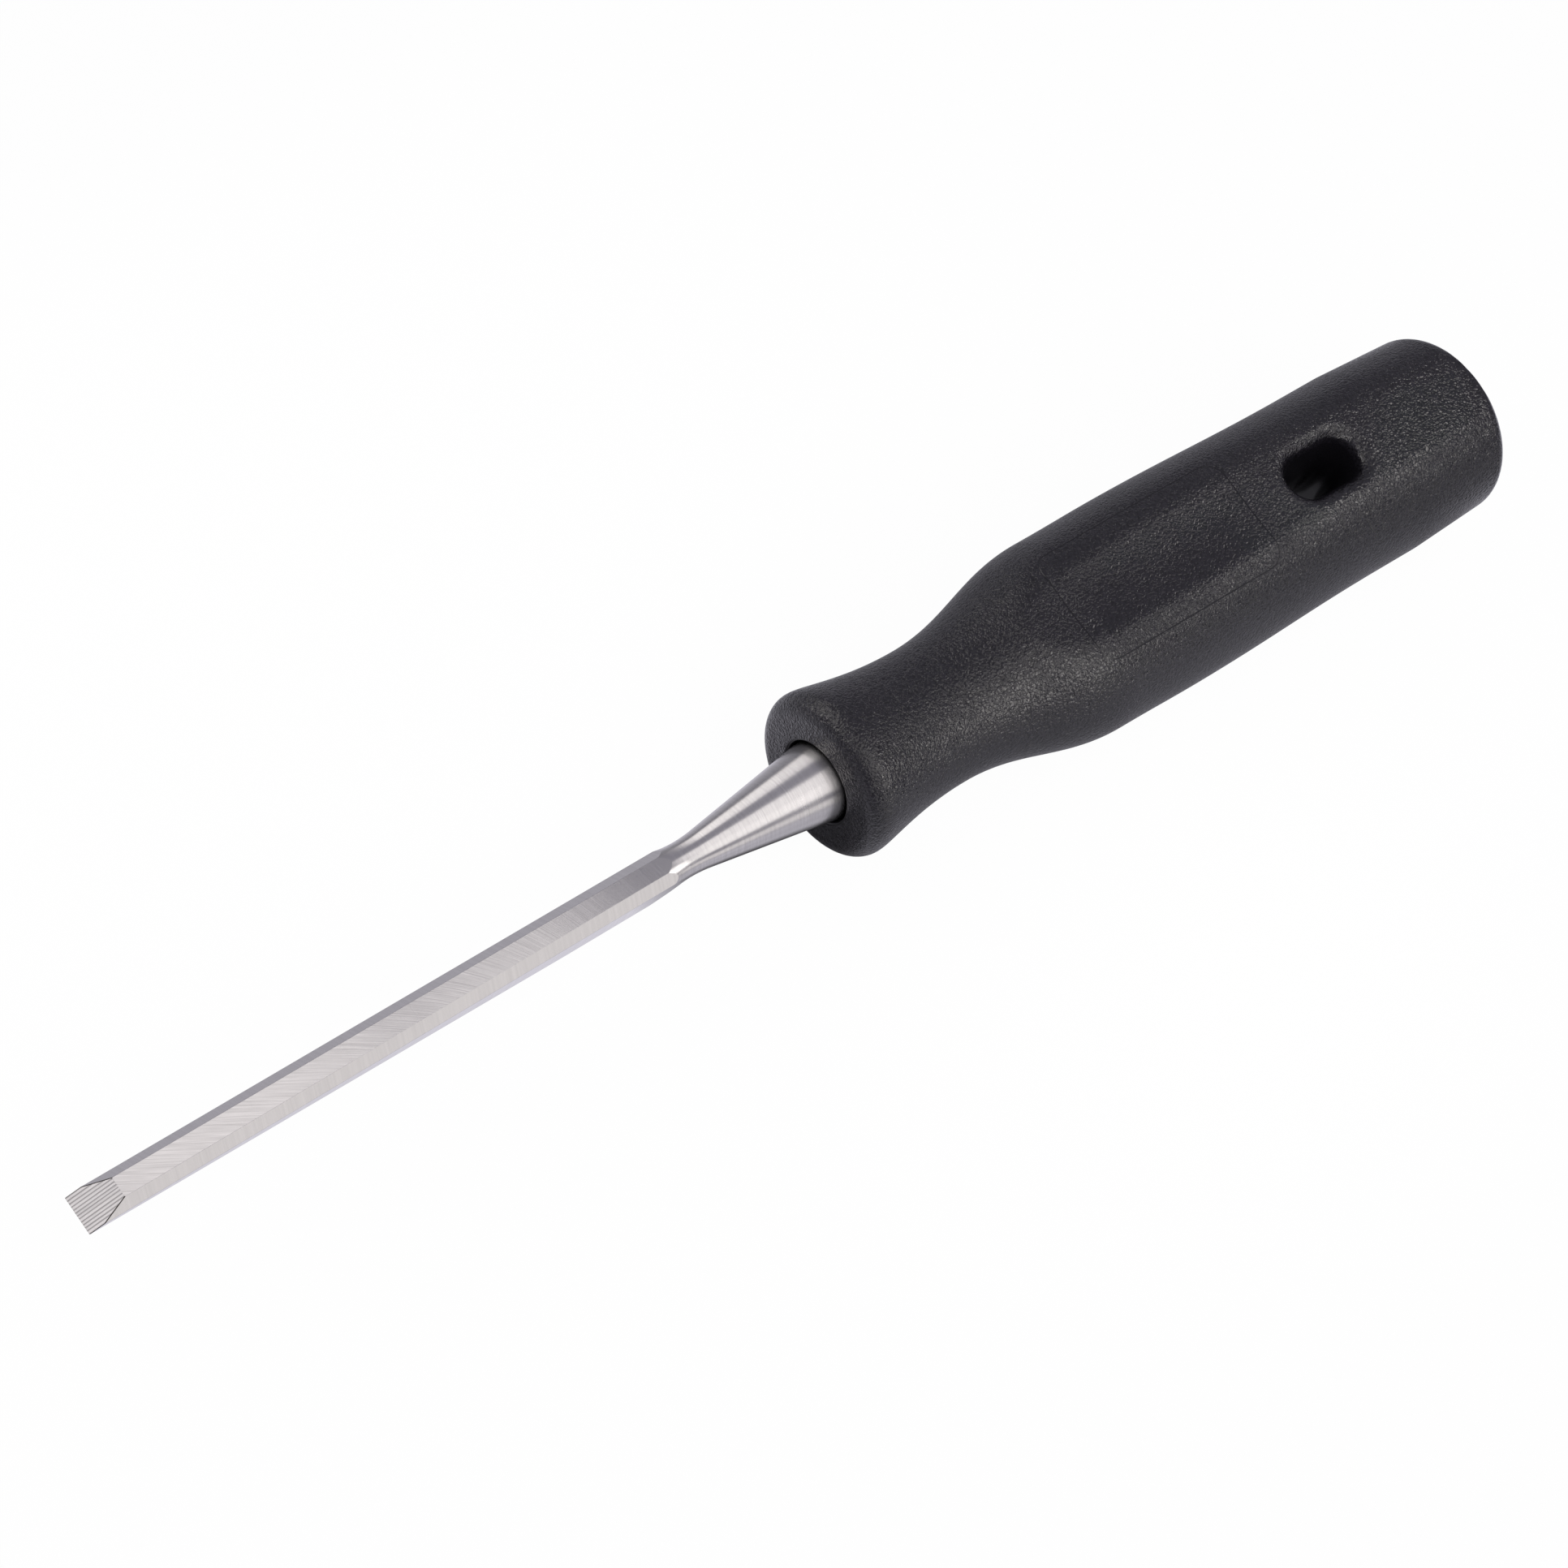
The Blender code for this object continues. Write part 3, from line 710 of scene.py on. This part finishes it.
class CHISEL_OT_blade(bpy.types.Operator):
    """Turn the forging, grind its faces and draw out its tang"""

    bl_idname = "chisel.blade"
    bl_label = "Blade"

    def forge(self, bm, size):
        """The bar and its flare down to the neck, still round."""
        neck = -size.neck_reach
        radius = size.neck / 2
        bar = math.hypot(size.width / 2, size.back_depth) + BAR_MARGIN
        slope = tangent_slope(size.flare, bar - radius, size.root_hollow)
        hollow = arc(
            (neck, radius + size.root_hollow), size.root_hollow, -RIGHT_ANGLE - slope, -RIGHT_ANGLE, 16
        )
        start = (-size.reach - BAR_OVERHANG, bar)
        shoulder = (neck - size.flare, bar)
        lathe(bm, [start, shoulder] + straight(shoulder, hollow[0], 12) + hollow[1:])
        bmesh.ops.holes_fill(bm, edges=open_loop(bm, start[0]))

    def grind_faces(self, bm, size):
        """Flat back, top flat, side bevels, sides, forged drafts and cutting bevel."""
        edge = Vector((-size.reach, 0.0, -size.back_depth))
        neck = -size.neck_reach
        run = size.tip_thickness / math.tan(size.cutting_angle)
        flat_start = edge + Vector((run, 0.0, size.tip_thickness))
        flat_end = Vector((neck, 0.0, size.top_rise))
        rise = flat_end - flat_start
        grind(bm, flat_end, rise.cross(Vector((0.0, 1.0, 0.0))), TOP_FLAT)
        grind(bm, edge, Vector((0.0, 0.0, -1.0)), SIDE_GROUND)
        for sign in (1.0, -1.0):
            outward = Vector((0.0, sign, 0.0))
            start = flat_start + outward * (size.tip_flat / 2)
            end = flat_end + outward * (size.root_flat / 2)
            slope = Vector((0.0, math.cos(size.bevel_angle), -sign * math.sin(size.bevel_angle)))
            grind(bm, end, (end - start).cross(slope), SIDE_GROUND)
            start = edge + outward * (size.width / 2)
            end = Vector((neck, sign * size.root_width / 2, -size.back_depth))
            grind(bm, end, (end - start).cross(Vector((0.0, 0.0, -sign))), SIDE_GROUND)
            start = Vector((-size.draft_start, sign * size.width / 2, -size.back_depth))
            end += Vector((0.0, -sign, 1.0)) * size.draft_depth
            grind(bm, end, sign * Vector((0.0, sign, 1.0)).cross(end - start), SIDE_GROUND)
        upward = Vector((-math.sin(size.cutting_angle), 0.0, math.cos(size.cutting_angle)))
        grind(bm, edge, upward, COARSE_GROUND)

    def turn_cone(self, bm, size):
        """The hollow neck, the cone and its shoulder, joined to the ground blade."""
        neck = -size.neck_reach
        radius = size.neck / 2
        slope = tangent_slope(size.neck_reach, size.cone / 2 - radius, size.cone_hollow)
        hollow = arc(
            (neck, radius + size.cone_hollow), size.cone_hollow, -RIGHT_ANGLE, slope - RIGHT_ANGLE, 16
        )
        front = (0.0, size.cone / 2)
        back = (size.shoulder, size.cone / 2)
        lathe(bm, hollow + straight(hollow[-1], front, 8) + [back])
        bmesh.ops.remove_doubles(bm, verts=bm.verts, dist=NEAR)

    def draw_tang(self, bm, size):
        """The square tang, drawn out from the shoulder to its tip."""
        root = bmesh.ops.extrude_edge_only(bm, edges=open_loop(bm, size.shoulder))["geom"]
        for vert in root:
            if isinstance(vert, bmesh.types.BMVert):
                squared = size.tang_base / 2 / max(abs(vert.co.y), abs(vert.co.z))
                vert.co.y *= squared
                vert.co.z *= squared
        drawn = bmesh.ops.extrude_edge_only(bm, edges=open_loop(bm, size.shoulder))["geom"]
        tip = [item for item in drawn if isinstance(item, bmesh.types.BMVert)]
        share = size.tang_tip / size.tang_base
        bmesh.ops.scale(bm, verts=tip, vec=(1.0, share, share))
        bmesh.ops.translate(bm, verts=tip, vec=(BLADE_HIGH.x - FRONT_X - size.shoulder, 0.0, 0.0))
        bmesh.ops.holes_fill(bm, edges=[edge for edge in bm.edges if edge.is_boundary])

    def break_edges(self, bm, size):
        """A dark burr along the cutting bevel's sides, its dark colour partly painted shade of the gap there,
        and a small chamfer along the other ground edges.
        """
        burrs = []
        for edge in bm.edges:
            places = {face.material_index for face in edge.link_faces}
            if places == {COARSE_GROUND, SIDE_GROUND} and not at_tip(edge, size):
                burrs.append(edge)
        for face in chamfer(bm, burrs, size.burr)["faces"]:
            face.material_index = BURR_AND_SHADE
        bm.normal_update()
        lands = []
        edges = []
        for edge in bm.edges:
            places = {face.material_index for face in edge.link_faces}
            if places & {TURNED, BURR_AND_SHADE} or edge.calc_face_angle(0.0) < math.radians(10):
                continue
            rises = sorted(face.normal.z for face in edge.link_faces)
            is_land = places == {SIDE_GROUND} and abs(rises[0]) < 0.2 and rises[1] > 0.4
            (lands if is_land else edges).append(edge)
        chamfer(bm, edges, size.edge_break)
        chamfer(bm, [edge for edge in lands if edge.is_valid], size.land_break)

    def execute(self, context):
        size = context.scene.chisel_blade
        look = context.scene.chisel_look
        bm = bmesh.new()
        self.forge(bm, size)
        self.grind_faces(bm, size)
        self.turn_cone(bm, size)
        self.draw_tang(bm, size)
        self.break_edges(bm, size)
        bmesh.ops.recalc_face_normals(bm, faces=bm.faces)
        to_frame(bm)
        materials = [
            turned_steel(look),
            ground_steel(
                look,
                "cross_ground_steel",
                slanted_sweep,
                depth=0.010 * MM,
                contrast=0.32,
                span=(0.3, 0.65),
                sheen=(0.36, 0.18),
                lean=(0.24, 0.095, 0.018),
            ),
            ground_steel(
                look,
                "fine_ground_steel",
                across_blade,
                depth=0.002 * MM,
                contrast=0.10,
                span=(0.3, 0.7),
                sheen=(0.14, 0.14),
            ),
            wheel_ground_steel(look),
            burr_and_painted_shade(look),
        ]
        piece = new_object("blade_forging", bm, materials)
        dress(piece, "blade", 10.0)
        return {"FINISHED"}


class CHISEL_OT_handle(bpy.types.Operator):
    """Mould the handle with its flattened grip, hang slot, counterbore and bare panel"""

    bl_idname = "chisel.handle"
    bl_label = "Handle"

    def outline(self, size):
        """Half the handle's outline as (station, radius), from the front face to the butt."""
        long = HANDLE_HIGH.x - HANDLE_LOW.x
        rim = (size.front_edge, size.front / 2)
        waist = (size.waist_station, size.waist / 2)
        shoulder = (size.shoulder_station, size.shoulder / 2)
        belly = (size.belly_station, size.belly / 2)
        throat = (long - size.throat_to_butt, size.throat / 2)
        heel = (long - size.heel_to_butt, size.heel / 2)
        butt = (long - size.butt_edge, size.butt / 2)
        points = arc((rim[0], rim[1] - size.front_edge), size.front_edge, math.pi, RIGHT_ANGLE, 12)
        points += level_curve(rim, waist, 0.13, 0.53, 24)
        points += level_curve(waist, shoulder, 0.42, 0.36, 36)
        points += level_curve(shoulder, belly, 0.40, 0.40, 16)
        points += level_curve(belly, throat, 0.40, 0.40, 36)
        points += straight(throat, heel, 8) + straight(heel, butt, 12)
        return points + arc((butt[0], butt[1] - size.butt_edge), size.butt_edge, RIGHT_ANGLE, 0.0, 12)[1:]

    def body(self, size, material):
        """The turned and flattened body, before anything is cut."""
        bm = bmesh.new()
        lathe(bm, self.outline(size))
        bmesh.ops.holes_fill(bm, edges=[edge for edge in bm.edges if edge.is_boundary])
        self.flatten(bm, size)
        bmesh.ops.recalc_face_normals(bm, faces=bm.faces)
        to_frame(bm)
        return new_object("handle_moulding", bm, [material])

    def flatten(self, bm, size):
        """Presses two flattened faces into the round body."""
        half = size.thickness / 2
        centre_rise = half - size.flat_edge
        for vert in bm.verts:
            radius = math.hypot(vert.co.y, vert.co.z)
            if radius <= half:
                continue
            side = abs(vert.co.y) / radius
            rise = abs(vert.co.z) / radius
            centre_side = math.sqrt((radius - size.flat_edge) ** 2 - centre_rise**2)
            if rise * centre_side <= centre_rise * side:
                continue
            across = half * side / (rise * centre_side) if centre_side else 1.0
            ends = min(vert.co.x - size.panel_start, size.panel_end - vert.co.x) / size.dish_end + 0.5
            sink = size.dish * min(max(ends, 0.0), 1.0) * (1 - across**2)
            reach = (half - sink) / rise
            if rise * centre_side < half * side:
                along = side * centre_side + rise * centre_rise
                off_squared = centre_side**2 + centre_rise**2 - along**2
                reach = along + math.sqrt(size.flat_edge**2 - off_squared)
            vert.co.y *= reach / radius
            vert.co.z *= reach / radius

    def rounded_ring(self, bm, centre, straights, corner):
        """A level ring with round corners; straights are half its straight lengths: its edges."""
        made = bmesh.ops.create_circle(
            bm, segments=SLOT_POINTS, radius=corner, matrix=Matrix.Rotation(math.pi / SLOT_POINTS, 4, "Z")
        )
        for vert in made["verts"]:
            vert.co.x += math.copysign(straights[0], vert.co.x) + centre[0]
            vert.co.y += math.copysign(straights[1], vert.co.y)
            vert.co.z = centre[1]
        return list(dict.fromkeys(edge for vert in made["verts"] for edge in vert.link_edges))

    def slot_cutter(self, size, grained, smooth):
        """The mould pin of the hang slot: a funnel from each face, with a soft lip, down to the narrow slot."""
        half = size.thickness / 2
        mouth = (size.slot_mouth - size.slot_width) / 2
        lip = arc((mouth, half - size.slot_lip), size.slot_lip, RIGHT_ANGLE, math.pi, 14)
        outside = (mouth, half + PIN_OVERHANG)
        upper = [outside] + lip + [(0.0, half - size.upper_funnel)]
        lower = [outside] + lip + [(0.0, half - size.lower_funnel)]
        levels = upper + [(offset, -height) for offset, height in reversed(lower)]
        straights = ((size.slot_length - size.slot_width) / 2, 0.0)
        bm = bmesh.new()
        rings = [
            self.rounded_ring(bm, (slot_station(size), height), straights, size.slot_width / 2 + offset)
            for offset, height in levels
        ]
        for first, second, level in zip(rings, rings[1:], levels):
            sides = bmesh.ops.bridge_loops(bm, edges=first + second)["faces"]
            on_lip = half - size.slot_lip < abs(level[1]) <= half
            for face in sides:
                face.material_index = 0 if on_lip else 1
        bmesh.ops.holes_fill(bm, edges=[edge for edge in bm.edges if edge.is_boundary])
        bmesh.ops.recalc_face_normals(bm, faces=bm.faces)
        to_frame(bm)
        return new_object("slot_pin", bm, [grained, smooth])

    def panel_outline(self, size):
        """Points of the panel's outline in order, as (station, side)."""
        middle = (size.panel_start + size.panel_end) / 2
        long = (size.panel_end - size.panel_start) / 2 - size.panel_corner
        wide = size.panel_half - size.panel_corner
        corners = []
        for place, (along, side) in enumerate(((1, 1), (-1, 1), (-1, -1), (1, -1))):
            turn = place * RIGHT_ANGLE
            centre = (middle + along * long, side * wide)
            corners.append(arc(centre, size.panel_corner, turn, turn + RIGHT_ANGLE, 8))
        points = []
        for first, second in zip(corners, corners[1:] + corners[:1]):
            points += first + straight(first[-1], second[0], PANEL_STEPS)[:-1]
        return points

    def panel_cutter(self, size, piece, material):
        """The wedge-shaped ring in the mould that leaves a fine groove round the bare panel."""
        skin = BVHTree.FromPolygons(
            [vert.co for vert in piece.data.vertices], [face.vertices for face in piece.data.polygons]
        )
        points = self.panel_outline(size)
        lines = ([], [], [])
        for before, point, after in zip(points[-1:] + points, points, points[1:] + points[:1]):
            above = Vector((FRONT_X + point[0], point[1], HANDLE_HIGH.z + size.thickness))
            spot, outward, _, _ = skin.ray_cast(above, Vector((0.0, 0.0, -1.0)))
            forward = Vector((after[0] - before[0], after[1] - before[1], 0.0))
            across = forward.cross(outward).normalized() * size.panel_line
            high = spot + outward * size.panel_groove
            lines[0].append(spot - outward * size.panel_groove)
            lines[1].append(high + across)
            lines[2].append(high - across)
        bm = bmesh.new()
        rings = []
        for line in lines:
            verts = [bm.verts.new(place) for place in line]
            rings.append([bm.edges.new(pair) for pair in zip(verts, verts[1:] + verts[:1])])
        for first, second in zip(rings, rings[1:] + rings[:1]):
            bmesh.ops.bridge_loops(bm, edges=first + second)
        bmesh.ops.recalc_face_normals(bm, faces=bm.faces)
        return new_object("panel_line", bm, [material])

    def bore_cutter(self, size, material):
        """The mould pin of the counterbore."""
        bm = bmesh.new()
        radius = size.bore / 2
        edge = size.bore_edge
        lip = arc((edge, radius + edge), edge, -math.pi, -RIGHT_ANGLE, 8)
        lathe(bm, [(-PIN_OVERHANG, radius + edge)] + lip + [(size.bore_depth, radius)])
        bmesh.ops.holes_fill(bm, edges=[edge for edge in bm.edges if edge.is_boundary])
        bmesh.ops.recalc_face_normals(bm, faces=bm.faces)
        to_frame(bm)
        return new_object("bore_pin", bm, [material])

    def tang_cutter(self, size, blade, material):
        """The mould pin of the tang's hole: the tang's own taper with a little room round it."""
        start = blade.shoulder
        tip = BLADE_HIGH.x - FRONT_X
        end = tip + size.tang_room
        taper = (blade.tang_tip - blade.tang_base) / (tip - start)
        base = blade.tang_base + 2 * size.tang_fit
        turn = Matrix.Rotation(RIGHT_ANGLE, 4, "Y") @ Matrix.Rotation(RIGHT_ANGLE / 2, 4, "Z")
        bm = bmesh.new()
        bmesh.ops.create_cone(
            bm,
            cap_ends=True,
            segments=4,
            radius1=base * math.sqrt(0.5),
            radius2=(base + taper * (end - start)) * math.sqrt(0.5),
            depth=end - start,
            matrix=Matrix.Translation(((start + end) / 2, 0.0, 0.0)) @ turn,
        )
        bmesh.ops.recalc_face_normals(bm, faces=bm.faces)
        to_frame(bm)
        return new_object("tang_pin", bm, [material])

    def write_grain(self, piece, size):
        """Stores how deep the moulded grain is at each point.

        It fades over the slot's lip and at the butt, and is shallower in the middle of the panel.
        """
        straight_half = (size.slot_length - size.slot_width) / 2
        edge = size.slot_mouth / 2 - size.slot_lip
        depths = []
        for vert in piece.data.vertices:
            beyond = max(abs(vert.co.x - FRONT_X - slot_station(size)) - straight_half, 0.0)
            from_slot = (math.hypot(beyond, vert.co.y) - edge) / (0.4 * size.slot_lip)
            from_butt = (HANDLE_HIGH.x - vert.co.x) / size.butt_edge
            station = vert.co.x - FRONT_X
            from_end = min(station - size.panel_start, size.panel_end - station) / size.dish_end
            from_side = 1.0 - abs(vert.co.y) / size.panel_half
            in_panel = min(max(from_end, 0.0), max(from_side, 0.0), 0.5)
            depths.append(min(max(from_slot, 0.0), max(from_butt, 0.25), 1.0 - in_panel))
        piece.data.attributes.new(GRAIN, "FLOAT", "POINT").data.foreach_set("value", depths)

    def execute(self, context):
        size = context.scene.chisel_handle
        look = context.scene.chisel_look
        grained = grained_plastic(look)
        smooth = smooth_plastic(look)
        piece = self.body(size, grained)
        cut(piece, self.slot_cutter(size, grained, smooth))
        cut(piece, self.bore_cutter(size, smooth))
        cut(piece, self.tang_cutter(size, context.scene.chisel_blade, smooth))
        cut(piece, self.panel_cutter(size, piece, smooth))
        self.write_grain(piece, size)
        dress(piece, "handle", 28.0)
        return {"FINISHED"}


def slot_station(size):
    """Front face to the middle of the hang slot."""
    return HANDLE_HIGH.x - HANDLE_LOW.x - size.slot_to_butt


def cut(piece, cutter):
    """Takes a cutter's shape out of a piece, with the cutter's material on the cut faces."""
    modifier = piece.modifiers.new(cutter.name, "BOOLEAN")
    modifier.object = cutter
    modifier.solver = "MANIFOLD"
    modifier.material_mode = "TRANSFER"
    bpy.context.view_layer.update()
    graph = bpy.context.evaluated_depsgraph_get()
    shape = bpy.data.meshes.new_from_object(piece.evaluated_get(graph))
    piece.modifiers.clear()
    piece.data = shape
    bpy.data.objects.remove(cutter)


DOWN = (0.0, 0.0, -1.0)

# Name, middle, the way it faces, length and width, brightness
SOFT_LIGHTS = (
    ("overhead_box", (0.05, -0.185, 1.0), DOWN, (0.60, 0.51), 1.1),
    ("overhead_end", (0.61, -0.19, 1.0), DOWN, (0.52, 0.52), 0.95),
    ("near_box", (-0.175, -0.725, 0.84), (0.0, 0.50, -0.86), (1.25, 0.636), 1.22),
    ("near_end", (0.76, -0.725, 0.84), (0.0, 0.50, -0.86), (0.62, 0.636), 0.30),
    ("near_strip", (0.90, -0.78, 0.62), (0.0, 0.79, -0.61), (0.46, 0.14), 5.0),
    ("shoulder_light", (0.050, -0.065, 0.072), (0.0, 0.81, -0.58), (0.024, 0.06), 3.8),
    ("slot_light", (0.152, -0.020, 0.089), (-0.62, 0.0, -0.78), (0.036, 0.026), 4.6),
    ("far_card", (-0.065, 0.15, 0.13), (0.0, -1.0, 0.0), (0.24, 0.16), 1.25),
    ("bevel_card", (-0.34, 0.085, 0.36), DOWN, (0.22, 0.22), 1.45),
    ("left_box", (-0.64, 0.67, 0.39), (0.64, -0.67, -0.37), (0.35, 0.35), 2.0),
    ("low_card", (0.275, -1.0, 0.16), (0.0, 1.0, 0.0), (1.35, 0.32), 0.84),
)


class CHISEL_OT_stage(bpy.types.Operator):
    """Lay the white floor, hang the soft lights and place the camera"""

    bl_idname = "chisel.stage"
    bl_label = "Stage"

    def floor(self, look):
        """A white table: plain white with a faint shadow to the eye, and glowing with painted shade in
        reflections.

        In reflections its glow is painted light and shadow: brightest close under the blade and past the butt,
        and darkest under the cone, where the tool's shadow is painted in.
        """
        bm = bmesh.new()
        bmesh.ops.create_grid(bm, x_segments=1, y_segments=1, size=4.0)
        material = bpy.data.materials.new("white_paper_sweep")
        material.use_nodes = True
        tree = material.node_tree
        tree.nodes.clear()
        paper = add_node(tree, "ShaderNodeBsdfDiffuse", {"Color": (*look.floor, 1.0)})
        place = add_node(tree, "ShaderNodeTexCoord").outputs["Object"]
        parts = add_node(tree, "ShaderNodeSeparateXYZ", {"Vector": place})
        side = parts.outputs["Y"]
        off_axis = add_node(tree, "ShaderNodeMath", {0: side}, operation="ABSOLUTE").outputs["Value"]
        # Painted shade of the table in reflections, across the tool: from one distance to another it goes from
        # first to last
        painted_shades = {}
        for name, distance, start, end, first, last in (
            ("by_blade", off_axis, 0.008, 0.035, 0.95, 0.60),
            ("far_of_cone", side, 0.002, 0.014, 0.10, 0.95),
            ("near_of_cone", side, -0.010, -0.022, 0.10, 0.95),
            ("by_far_side", side, 0.02, 0.15, 0.34, 0.42),
            ("near_side", side, -0.02, -0.06, 0.0, 0.3),
            ("past_butt", off_axis, 0.012, 0.03, 1.0, 0.36),
        ):
            painted_shades[name] = add_node(
                tree,
                "ShaderNodeMapRange",
                {"Value": distance, "From Min": start, "From Max": end, "To Min": first, "To Max": last},
            ).outputs["Result"]
        for name, one, other, operation in (
            ("under_cone", "far_of_cone", "near_of_cone", "MAXIMUM"),
            ("by_cone", "by_blade", "under_cone", "MINIMUM"),
            ("by_handle", "by_far_side", "near_side", "ADD"),
            ("round_cone", "by_cone", "near_side", "ADD"),
        ):
            painted_shades[name] = add_node(
                tree, "ShaderNodeMath", {0: painted_shades[one], 1: painted_shades[other]}, operation=operation
            ).outputs["Value"]
        painted_reflection = painted_shades["by_blade"]
        for start, end, following in (
            (FRONT_X - 0.03, FRONT_X - 0.015, "round_cone"),
            (FRONT_X, FRONT_X + 0.03, "by_handle"),
            (HANDLE_HIGH.x, HANDLE_HIGH.x + 0.015, "past_butt"),
        ):
            passed = add_node(
                tree, "ShaderNodeMapRange", {"Value": parts.outputs["X"], "From Min": start, "From Max": end}
            )
            painted_reflection = add_node(
                tree,
                "ShaderNodeMix",
                {0: passed.outputs["Result"], 2: painted_reflection, 3: painted_shades[following]},
                data_type="FLOAT",
            ).outputs["Result"]
        # painted light: to the eye the table glows evenly white, in reflections it glows with the painted shade
        # above
        path = add_node(tree, "ShaderNodeLightPath")
        light = add_node(
            tree,
            "ShaderNodeMix",
            {0: path.outputs["Is Camera Ray"], 2: painted_reflection, 3: 1.0},
            data_type="FLOAT",
        )
        white = add_node(
            tree,
            "ShaderNodeMix",
            {
                "Factor": path.outputs["Is Camera Ray"],
                "A": (*look.table_in_painted_reflections, 1.0),
                "B": (*look.table_glow, 1.0),
            },
            data_type="RGBA",
        )
        glow = add_node(
            tree,
            "ShaderNodeEmission",
            {"Color": white.outputs["Result"], "Strength": light.outputs["Result"]},
        )
        seen = add_node(
            tree,
            "ShaderNodeMath",
            {0: path.outputs["Is Camera Ray"], 1: path.outputs["Is Glossy Ray"]},
            operation="ADD",
        )
        share = add_node(tree, "ShaderNodeMath", {0: seen.outputs["Value"], 1: 0.97}, operation="MULTIPLY")
        mixed = add_node(
            tree,
            "ShaderNodeMixShader",
            {0: share.outputs["Value"], 1: paper.outputs["BSDF"], 2: glow.outputs["Emission"]},
        )
        add_node(tree, "ShaderNodeOutputMaterial", {"Surface": mixed.outputs["Shader"]})
        new_object("floor", bm, [material])

    def surroundings(self, context):
        """A studio with pale walls and a darker ceiling round the soft lights, plain white to the eye."""
        world = bpy.data.worlds.new("white_studio")
        context.scene.world = world
        world.use_nodes = True
        tree = world.node_tree
        tree.nodes.clear()
        way = add_node(tree, "ShaderNodeTexCoord").outputs["Generated"]
        rise = add_node(tree, "ShaderNodeSeparateXYZ", {"Vector": way}).outputs["Z"]
        walls = add_node(
            tree,
            "ShaderNodeMapRange",
            {"Value": rise, "From Min": 0.1, "From Max": 0.6, "To Min": 0.30, "To Max": 0.42},
        )
        path = add_node(tree, "ShaderNodeLightPath")
        light = add_node(
            tree,
            "ShaderNodeMix",
            {0: path.outputs["Is Camera Ray"], 2: walls.outputs["Result"], 3: 1.0},
            data_type="FLOAT",
        )
        sky = add_node(
            tree,
            "ShaderNodeBackground",
            {"Color": (*context.scene.chisel_look.studio, 1.0), "Strength": light.outputs["Result"]},
        )
        add_node(tree, "ShaderNodeOutputWorld", {"Surface": sky.outputs["Background"]})

    def softbox(self, context, name, place, faces, size, radiance):
        """A soft light of one brightness: its middle, the way it faces, its length and its width."""
        lamp = bpy.data.lights.new(name, "AREA")
        lamp.shape = "RECTANGLE"
        lamp.size, lamp.size_y = size
        lamp.energy = radiance * math.pi * size[0] * size[1]
        lamp.color = context.scene.chisel_look.lamp
        light = bpy.data.objects.new(name, lamp)
        light.location = place
        light.visible_camera = False
        light.rotation_euler = Vector(faces).to_track_quat("-Z", "Y").to_euler()
        context.scene.collection.objects.link(light)

    def camera(self, context, stage):
        lens = bpy.data.cameras.new("photo_camera")
        lens.sensor_fit = "HORIZONTAL"
        lens.lens = stage.focal_pixels / PICTURE_PIXELS * lens.sensor_width
        camera = bpy.data.objects.new("photo_camera", lens)
        camera.location = stage.camera_place
        camera.rotation_euler = stage.camera_turn
        context.scene.collection.objects.link(camera)
        context.scene.camera = camera

    def execute(self, context):
        self.floor(context.scene.chisel_look)
        self.surroundings(context)
        for light in SOFT_LIGHTS:
            self.softbox(context, *light)
        self.camera(context, context.scene.chisel_stage)
        context.scene.view_settings.view_transform = "Standard"
        return {"FINISHED"}


class CHISEL_PT_panel(bpy.types.Panel):
    """Lists the steps that build the chisel"""

    bl_idname = "CHISEL_PT_panel"
    bl_label = "Wood chisel"
    bl_space_type = "VIEW_3D"
    bl_region_type = "UI"
    bl_category = "Chisel"

    def draw(self, context):
        for step in STEPS:
            self.layout.operator(step.bl_idname)


STEPS = (CHISEL_OT_blade, CHISEL_OT_handle, CHISEL_OT_stage)
GROUPS = {
    "chisel_blade": ChiselBlade,
    "chisel_handle": ChiselHandle,
    "chisel_look": ChiselLook,
    "chisel_stage": ChiselStage,
}


def register():
    for kind in (*GROUPS.values(), *STEPS, CHISEL_PT_panel):
        bpy.utils.register_class(kind)
    for name, group in GROUPS.items():
        setattr(bpy.types.Scene, name, bpy.props.PointerProperty(type=group))


def unregister():
    for name in GROUPS:
        delattr(bpy.types.Scene, name)
    for kind in (CHISEL_PT_panel, *reversed(STEPS), *reversed(GROUPS.values())):
        bpy.utils.unregister_class(kind)


def main():
    register()
    bpy.ops.chisel.blade()
    bpy.ops.chisel.handle()
    bpy.ops.chisel.stage()


if __name__ == "__main__":
    main()
